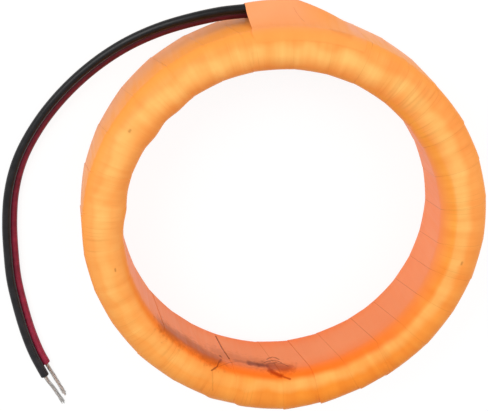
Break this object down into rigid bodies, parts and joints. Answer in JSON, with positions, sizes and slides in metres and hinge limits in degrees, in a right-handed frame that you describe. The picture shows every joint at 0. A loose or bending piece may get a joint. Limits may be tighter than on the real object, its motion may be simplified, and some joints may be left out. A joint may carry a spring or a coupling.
{
  "type": "current transformer",
  "caption": "Ring-type current transformer: a tape-wrapped toroidal core with an open window and a pair of leads, which measures the current in a conductor passed through the window.",
  "frame": {"origin": "middle of the window, on its axis and half-way up the ring", "axes": "+Z along the window's axis, up from the face that the ring lies on; the leads come out at the +Y side and run round the -X side"},
  "size_m": [0.1504, 0.1382, 0.031],
  "materials": {
    "core_steel": "satin",
    "core_insulation": "matte",
    "enamelled_copper": "gloss",
    "solder": "satin",
    "sleeve": "satin",
    "orange_tape": "gloss",
    "black_insulation": "satin",
    "red_insulation": "satin",
    "tinned_strands": "satin"
  },
  "bodies": {
    "root": {"core": "core_steel", "core_wrap": "core_insulation", "secondary_winding": "enamelled_copper", "solder_joints": "solder", "splice_sleeves": "sleeve", "outer_tape": "orange_tape", "lead_cover": "orange_tape", "black_lead": "black_insulation", "red_lead": "red_insulation", "black_lead_end": "tinned_strands", "red_lead_end": "tinned_strands"}
  },
  "joints": []
}
